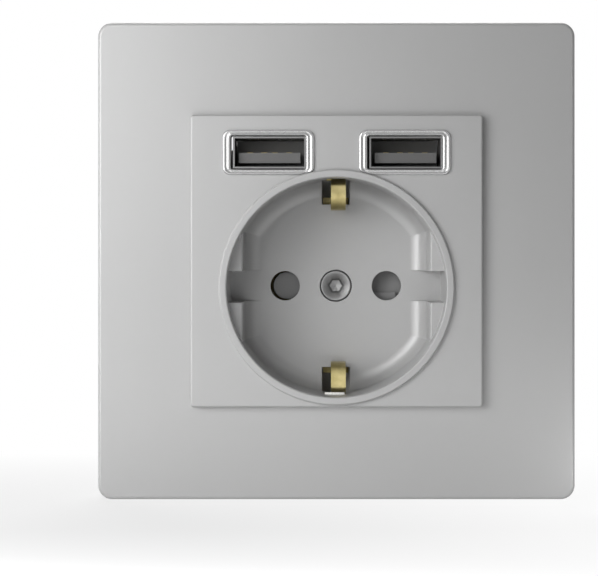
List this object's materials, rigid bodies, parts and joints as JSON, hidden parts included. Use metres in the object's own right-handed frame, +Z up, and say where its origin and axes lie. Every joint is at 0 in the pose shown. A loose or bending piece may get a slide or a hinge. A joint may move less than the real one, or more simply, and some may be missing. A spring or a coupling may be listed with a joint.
{
  "type": "wall socket",
  "caption": "Square flush wall socket with a round earthed plug recess, brass earth clips, shuttered pin holes and charging ports above the recess.",
  "frame": {"origin": "centre of the outer frame on the wall plane, midway between the box screws", "axes": "+X to the right, +Y into the wall, +Z up; the front faces -Y"},
  "size_m": [0.086, 0.0449, 0.086],
  "materials": {
    "lacquer": "satin grey lacquer on moulded plastic",
    "satin_trim": "satin grey, slightly glossier",
    "zinc_steel": "zinc plated",
    "screw_steel": "zinc plated",
    "nickel_sheet": "nickel plated sheet",
    "housing_plastic": "moulded, matt",
    "shutter_plastic": "moulded, matt",
    "retainer_plastic": "moulded, matt",
    "spring_steel": "spring steel strip",
    "contact_brass": "plain stamped brass",
    "clamp_brass": "machined brass",
    "port_plastic": "moulded, matt",
    "gilt_strip": "gilt contact strip",
    "board": "green solder mask",
    "dark_plastic": "moulded, matt",
    "ferrite": "sintered ferrite, matt",
    "winding_tape": "yellow insulating tape",
    "copper_wire": "enamelled copper wire",
    "can_sleeve": "shrunk sleeve",
    "blue_coating": "dipped coating",
    "resistor_coating": "dipped coating"
  },
  "bodies": {
    "socket": {"outer_frame": "lacquer", "cover_plate": "lacquer", "usb_bezel_left": "satin_trim", "usb_bezel_right": "satin_trim", "centre_screw": "screw_steel", "mounting_yoke": "zinc_steel", "base_housing": "housing_plastic", "rear_cover": "housing_plastic", "cover_screws": "screw_steel", "shutter_retainer": "retainer_plastic", "shutter_spring": "spring_steel", "earth_strap": "contact_brass", "live_contact": "contact_brass", "neutral_contact": "contact_brass", "live_clamp": "clamp_brass", "earth_clamp": "clamp_brass", "neutral_clamp": "clamp_brass", "live_clamp_screw": "screw_steel", "earth_clamp_screw": "screw_steel", "neutral_clamp_screw": "screw_steel", "usb_shell_left": "nickel_sheet", "usb_shell_right": "nickel_sheet", "usb_insulator_left": "port_plastic", "usb_insulator_right": "port_plastic", "usb_contacts_left": "gilt_strip", "usb_contacts_right": "gilt_strip", "usb_board": "board", "link_pins": "gilt_strip", "header_spacer": "dark_plastic", "power_board": "board", "transformer_core": "ferrite", "transformer_winding": "winding_tape", "input_capacitor": "can_sleeve", "output_capacitor_upper": "can_sleeve", "output_capacitor_lower": "can_sleeve", "choke_core": "ferrite", "choke_winding": "copper_wire", "bridge_rectifier": "dark_plastic", "controller_chip": "dark_plastic", "suppression_capacitor": "blue_coating", "fuse_resistor": "resistor_coating", "claw_screw_left": "screw_steel", "claw_screw_right": "screw_steel"},
    "shutter": {"shutter": "shutter_plastic"},
    "claw_nut_left": {"claw_nut_left": "zinc_steel"},
    "claw_nut_right": {"claw_nut_right": "zinc_steel"},
    "claw_left": {"claw_left": "zinc_steel"},
    "claw_right": {"claw_right": "zinc_steel"}
  },
  "joints": [
    {"name": "shutter_turn", "type": "hinge", "parent": "socket", "child": "shutter", "pos_m": [0, 0.0091, -0.0047], "axis": [0, -1, 0], "range_deg": [0, 36], "stiffness_Nm_per_rad": 0.004, "springref_deg": -14.32, "deforming": ["shutter_spring"]},
    {"name": "claw_nut_left_slide", "type": "slide", "parent": "socket", "child": "claw_nut_left", "axis": [0, -1, 0], "range_m": [0, 0.0075]},
    {"name": "claw_nut_right_slide", "type": "slide", "parent": "socket", "child": "claw_nut_right", "axis": [0, -1, 0], "range_m": [0, 0.0075]},
    {"name": "claw_left_spread", "type": "hinge", "parent": "socket", "child": "claw_left", "pos_m": [-0.0273, 0.0036, 0], "axis": [0, 0, 1], "range_deg": [0, 19]},
    {"name": "claw_right_spread", "type": "hinge", "parent": "socket", "child": "claw_right", "pos_m": [0.0273, 0.0036, 0], "axis": [0, 0, -1], "range_deg": [0, 19]}
  ],
  "couplings": [
    {"joint": "claw_left_spread", "follows": "claw_nut_left_slide", "rad_per_m": 44.2},
    {"joint": "claw_right_spread", "follows": "claw_nut_right_slide", "rad_per_m": 44.2}
  ]
}
